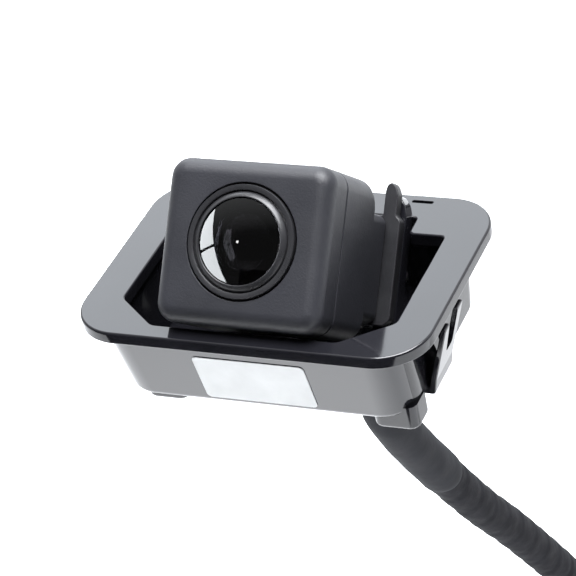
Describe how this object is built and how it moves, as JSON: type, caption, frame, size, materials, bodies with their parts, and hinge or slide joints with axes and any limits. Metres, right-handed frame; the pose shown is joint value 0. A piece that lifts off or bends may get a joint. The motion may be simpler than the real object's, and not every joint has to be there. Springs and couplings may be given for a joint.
{
  "type": "backup camera",
  "caption": "Square camera block tilted in a flanged snap-in trim frame, with snap tongues, a strain relief, a sleeved cable and an inline plug.",
  "frame": {"origin": "centre of the flange's underside, the plane that rests on the vehicle panel", "axes": "+Z out of the panel on the lens side, +X to the camera's right seen from the front, +Y back into the vehicle, so the lens looks towards -Y and up"},
  "size_m": [0.057, 0.1396, 0.233],
  "materials": {
    "gloss_black": "polished moulded black",
    "housing_grey": "fine moulded texture, dark grey",
    "plate_black": "satin black coating",
    "ring_black": "black anodised, turned",
    "lens_glass": "coated, polished",
    "filter_glass": "coated, polished",
    "barrel_black": "matt black",
    "rubber_black": "matt",
    "seal_orange": "soft silicone",
    "board_green": "solder mask",
    "chip_black": "moulded package",
    "tin": "tinned",
    "ivory": "plain",
    "screw_steel": "zinc plated",
    "sleeve_grey": "satin shrink sleeve",
    "cable_black": "harness tape wound in a spiral",
    "plug_grey": "fine moulded",
    "terminal_brass": "stamped",
    "label_white": "smooth printed film"
  },
  "bodies": {
    "camera": {"aperture_stop": "barrel_black", "bezel_frame": "gloss_black", "board_link": "ivory", "board_plug": "ivory", "bracket_screw_left": "screw_steel", "bracket_screw_right": "screw_steel", "cable_gland": "rubber_black", "cable_sleeve": "sleeve_grey", "camera_cable": "cable_black", "connector_boot": "rubber_black", "connector_housing": "plug_grey", "connector_seal": "seal_orange", "connector_terminal_a": "terminal_brass", "connector_terminal_b": "terminal_brass", "connector_terminal_c": "terminal_brass", "connector_terminal_d": "terminal_brass", "front_housing": "housing_grey", "front_lens": "lens_glass", "housing_gasket": "seal_orange", "housing_screw_1": "screw_steel", "housing_screw_2": "screw_steel", "housing_screw_3": "screw_steel", "housing_screw_4": "screw_steel", "image_sensor": "chip_black", "ir_filter": "filter_glass", "label": "label_white", "lens_barrel": "barrel_black", "lens_holder": "barrel_black", "lens_o_ring": "rubber_black", "lens_trim_ring": "ring_black", "middle_lens": "lens_glass", "mounting_plate": "plate_black", "oscillator_can": "tin", "rear_housing": "housing_grey", "rear_lens": "lens_glass", "sensor_board": "board_green", "shield_can": "tin", "video_board": "board_green", "video_chip": "chip_black"},
    "tongue_left": {"snap_tongue_left": "gloss_black"},
    "tongue_right": {"snap_tongue_right": "gloss_black"},
    "plug_latch": {"connector_latch": "plug_grey"}
  },
  "joints": [
    {"name": "tongue_left_bend", "type": "hinge", "parent": "camera", "child": "tongue_left", "pos_m": [-0.0234, -0.00445, -0.013], "axis": [0, 1, 0], "range_deg": [0, 13], "stiffness_Nm_per_rad": 0.1},
    {"name": "tongue_right_bend", "type": "hinge", "parent": "camera", "child": "tongue_right", "pos_m": [0.0234, -0.00445, -0.013], "axis": [0, -1, 0], "range_deg": [0, 13], "stiffness_Nm_per_rad": 0.1},
    {"name": "plug_latch_lift", "type": "hinge", "parent": "camera", "child": "plug_latch", "pos_m": [-0.003, 0.11796, -0.2006], "axis": [1, 0, 0], "range_deg": [0, 6], "stiffness_Nm_per_rad": 0.02}
  ]
}
